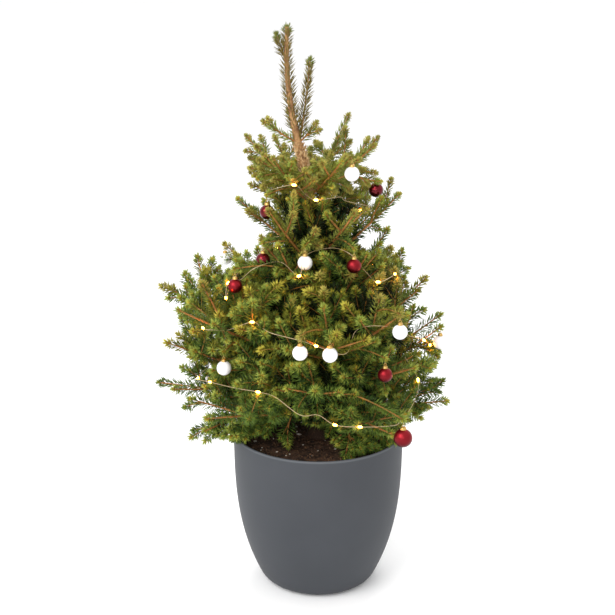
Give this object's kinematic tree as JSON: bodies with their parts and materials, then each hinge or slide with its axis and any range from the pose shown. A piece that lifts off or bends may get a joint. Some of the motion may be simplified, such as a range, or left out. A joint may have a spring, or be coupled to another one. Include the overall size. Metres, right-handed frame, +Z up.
{
  "type": "potted norway spruce",
  "caption": "Young spruce with a bushy lower crown, a narrow upper cone and a slim leader, growing in a round tapered pot of soil and dressed as a Christmas tree.",
  "frame": {"origin": "middle of the pot's flat underside", "axes": "+Z up along the trunk, -Y towards the front, +X to the right seen from the front"},
  "size_m": [0.4146, 0.3912, 0.793],
  "materials": {
    "pot": "matte anthracite, fine moulded grain",
    "soil": "crumbly dark potting soil with a few white grains",
    "bark": "tan bark, scarred where needles have dropped",
    "needles": "satin green needles, lighter at the tips of the shoots",
    "bauble_white": "satin white",
    "bauble_red": "deep red, some satin and some glossy",
    "bauble_cap": "gold cap and loop",
    "lamp": "clear bead with a warm white light",
    "lamp_wire": "thin bare-looking wire"
  },
  "bodies": {
    "root": {"pot": "pot", "soil": "soil", "trunk": "bark", "bough_middle_1": "bark", "bough_middle_2": "bark", "bough_middle_3": "bark", "bough_middle_4": "bark", "bough_middle_5": "bark", "bough_middle_6": "bark", "bough_shoulder_1": "bark", "bough_shoulder_2": "bark", "bough_shoulder_3": "bark", "bough_shoulder_4": "bark", "bough_shoulder_5": "bark", "bough_shoulder_6": "bark", "bough_shoulder_7": "bark", "bough_shoulder_8": "bark", "needles_cone_1": "needles", "needles_cone_2": "needles", "needles_cone_3": "needles", "needles_cone_4": "needles", "needles_cone_5": "needles", "needles_cone_6": "needles", "needles_leader": "needles", "needles_low_1": "needles", "needles_low_2": "needles", "needles_low_3": "needles", "needles_low_4": "needles", "needles_low_5": "needles", "needles_low_6": "needles", "needles_middle_1": "needles", "needles_middle_2": "needles", "needles_middle_3": "needles", "needles_middle_4": "needles", "needles_middle_5": "needles", "needles_middle_6": "needles", "needles_shoulder_1": "needles", "needles_shoulder_2": "needles", "needles_shoulder_3": "needles", "needles_shoulder_4": "needles", "needles_shoulder_5": "needles", "needles_shoulder_6": "needles", "needles_shoulder_7": "needles", "needles_shoulder_8": "needles", "needles_skirt_1": "needles", "needles_skirt_2": "needles", "needles_skirt_3": "needles", "needles_skirt_4": "needles", "needles_upper_1": "needles", "needles_upper_2": "needles", "needles_upper_3": "needles", "needles_upper_4": "needles", "needles_upper_5": "needles", "needles_upper_6": "needles", "needles_waist_1": "needles", "needles_waist_2": "needles", "needles_waist_3": "needles", "needles_waist_4": "needles", "needles_waist_5": "needles"}
  },
  "joints": []
}
